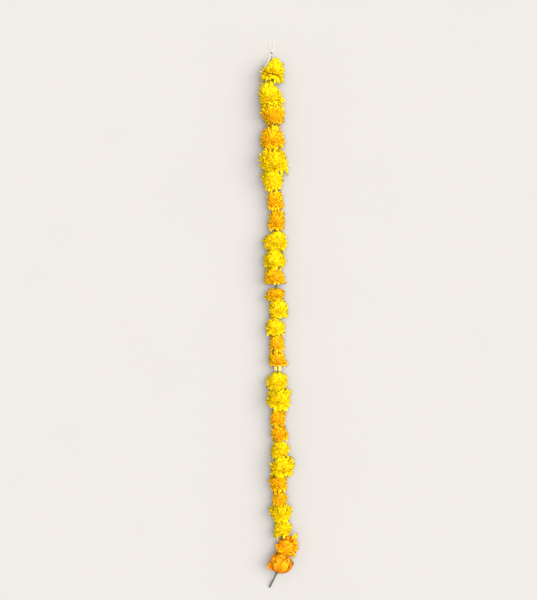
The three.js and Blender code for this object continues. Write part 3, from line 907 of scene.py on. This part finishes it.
def petal_head(head):
    """One head: its petals and the small core that they stand out of."""
    habit = head.habit
    count = round(PETALS_PER_MM * habit["many"] * head.radius / MM / habit["broad"])
    width = habit["broad"] * head.radius * head.rng.uniform(*DRAWS["width"], count)
    upper, lower, values = grow_petals(head, width, head.rng)
    points, values = petal_points(upper, lower), petal_points(values, values)
    first_points = points.shape[1] * np.arange(count)
    faces = (PETAL_FACES[None] + first_points[:, None, None]).reshape(-1, 4)
    core_points, core_faces = head_core(head)
    faces = np.vstack([faces, core_faces + count * points.shape[1]])
    points = np.vstack([points.reshape(-1, 3), core_points])
    values = np.vstack([values.reshape(-1, 3), np.tile(CORE_VALUES, (len(core_points), 1))])
    material = DEEPER.get(head.number, YELLOW if head.colour == "yellow" else ORANGE)
    add_piece(f"petals_{head.number:02d}", points, faces, material, f"{head.colour}_petals", head.node,
              petal=values)


PETAL_FACES = petal_faces()
heads = [Head(number) for number in range(1, HEADS + 1)]
for head in heads:
    petal_head(head)


# ---------------------------------------------------------------- calyxes

CALYX_RIBS = 10
CALYX_RINGS = 12
CALYX_HOLE = 1.05 * MM
CALYX_WALL = 0.9 * MM  # how thick it is at the least
RIB_HEIGHT = 0.07  # as a share of its radius
PALE_CALYX = 16  # it is pale, and slit open along its top
SLIT = 0.35  # half its width, in radians
USUAL_FOOT = 0.5  # radii of the calyxes' feet beside their rims'
PALE_FOOT = 0.85
FULL_RIM = 0.95  # radii of their mouths, inside the teeth
RIM_TOOTH = 0.45 * MM
STEM_RINGS = 40
STEM_RADIUS = 1.7 * MM
STEM_ARCH = 0.8 * MM
STEM_KNOBS = 0.1 * MM
STEM_HOLE = 0.02 * MM
CUP_RADIUS = 4.2 * MM
CUP_FROM = 0.66  # shares of the way from the foot of the stem to the rim
CUP_LENGTH = 0.3


def ribbed_tube(line, radii, ribs, hole, slit=0.0):
    """A tube about a line from its foot to its toothed rim, with a hole, and perhaps slit open above."""
    sides = 4 * CALYX_RIBS
    turn = math.pi / 2 + np.linspace(slit, 2 * math.pi - slit, sides, endpoint=slit > 0)
    wave = np.cos(CALYX_RIBS * turn)
    axis = unit(line[-1] - line[0])
    side = unit(np.cross(axis, UP))
    lift = np.cross(side, axis)
    ring = np.cos(turn)[:, None] * side + np.sin(turn)[:, None] * lift
    outer = line[:, None] + ring * (radii[:, None] * (1 + ribs[:, None] * wave))[:, :, None]
    outer[-1] += axis * (RIM_TOOTH * (1 + wave))[:, None]
    inner = line[::-1, None] + ring * hole
    index = np.arange(len(line) * 2 * sides).reshape(-1, sides)
    index = np.vstack([index, index[:1]])
    faces = [quads(index if slit else np.hstack([index, index[:, :1]]))]
    if slit:
        outside, inside = index[:len(line)], index[len(line) : -1][::-1]
        for column, order in ((0, 1), (-1, -1)):
            faces.append(quads(np.stack([outside[:, column], inside[:, column]]), order))
    return np.concatenate([outer, inner]).reshape(-1, 3), np.vstack(faces)


def fine_calyx(number):
    """The long ribbed cup under a head, threaded on the string."""
    node = f"calyx_{number:02d}"
    pale = number == PALE_CALYX
    low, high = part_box(node)
    y = np.linspace(low.y + 0.1 * MM, high.y - 0.9 * MM, CALYX_RINGS)
    x, z = string_at(y)
    share = np.linspace(0, 1, CALYX_RINGS)
    foot = PALE_FOOT if pale else USUAL_FOOT
    swell = foot + (FULL_RIM - foot) * np.sin(0.5 * math.pi * share)
    radii = np.maximum(CALYX_HOLE + CALYX_WALL, calyx_rim(number) * swell)
    ribs = np.full(CALYX_RINGS, RIB_HEIGHT)
    line = np.stack([x, y, z], axis=1)
    points, faces = ribbed_tube(line, radii, ribs, CALYX_HOLE, SLIT if pale else 0.0)
    material = PALE_GREEN if pale else SHADED_GREEN
    add_piece(f"ribbed_calyx_{number:02d}", points, faces, material, "green_calyx", node)


def calyx_with_stem():
    """The last head's calyx and the cut stem below it, which leans down to the surface."""
    points = np.array([v.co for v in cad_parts["calyx_28"].data.vertices])
    foot = points[points[:, 1] < points[:, 1].min() + 2 * MM].mean(0)
    rim = points[points[:, 1] > points[:, 1].max() - 4 * MM].mean(0)
    share = np.linspace(0, 1, STEM_RINGS)
    line = foot + share[:, None] * (rim - foot)
    line[:, 2] += STEM_ARCH * np.sin(math.pi * share)
    cup = np.clip((share - CUP_FROM) / CUP_LENGTH, 0, 1) ** 0.8
    knobs = STEM_KNOBS * np.sin(9 * share) * np.sin(31 * share)
    radii = STEM_RADIUS + knobs + (CUP_RADIUS - STEM_RADIUS) * cup
    points, faces = ribbed_tube(line, radii, 0.02 + 0.06 * cup, STEM_HOLE)
    add_piece("calyx_and_stem", points, faces, GREEN, "green_calyx", "calyx_28")


for number in range(1, HEADS):
    fine_calyx(number)
calyx_with_stem()


# ---------------------------------------------------------------- floor and light

FLOOR_REACH = 6.0
LIGHT_COLOUR = (1.0, 0.985, 0.96)
FILL_COLOUR = (0.95, 0.96, 1.0, 1)
FILL_STRENGTH = 1.3
# The far lights: their strength, where they come from, and how wide they are, in degrees.
FAR_LIGHTS = {
    "key": (3.3, (1.0, 0.2, 1.0), 40),
    "front": (4.0, (0.1, 0.0, 1.0), 50),
}


def lay_floor():
    """The plain surface that the garland lies on."""
    mesh = bpy.data.meshes.new("floor")
    corners = [(-1, -1, 0), (1, -1, 0), (1, 1, 0), (-1, 1, 0)]
    mesh.from_pydata([(FLOOR_REACH * x, FLOOR_REACH * y, z) for x, y, z in corners], [], [(0, 1, 2, 3)])
    mesh.materials.append(floor_material())
    floor = bpy.data.objects.new("floor", mesh)
    bpy.context.scene.collection.objects.link(floor)


def far_light(name, energy, towards, angle):
    """A soft light from far away."""
    data = bpy.data.lights.new(name, "SUN")
    data.energy = energy
    data.angle = math.radians(angle)
    data.color = LIGHT_COLOUR
    light = bpy.data.objects.new(name, data)
    light.rotation_euler = Vector(towards).to_track_quat("Z", "Y").to_euler()
    bpy.context.scene.collection.objects.link(light)


def light_studio():
    """A key from the right and a little above in the picture, one from the front, and an even fill."""
    for name, light in FAR_LIGHTS.items():
        far_light(name, *light)
    world = bpy.data.worlds.new("studio")
    world.use_nodes = True
    background = world.node_tree.nodes["Background"]
    background.inputs["Color"].default_value = FILL_COLOUR
    background.inputs["Strength"].default_value = FILL_STRENGTH
    bpy.context.scene.world = world
    bpy.context.scene.view_settings.view_transform = "Standard"


lay_floor()
light_studio()
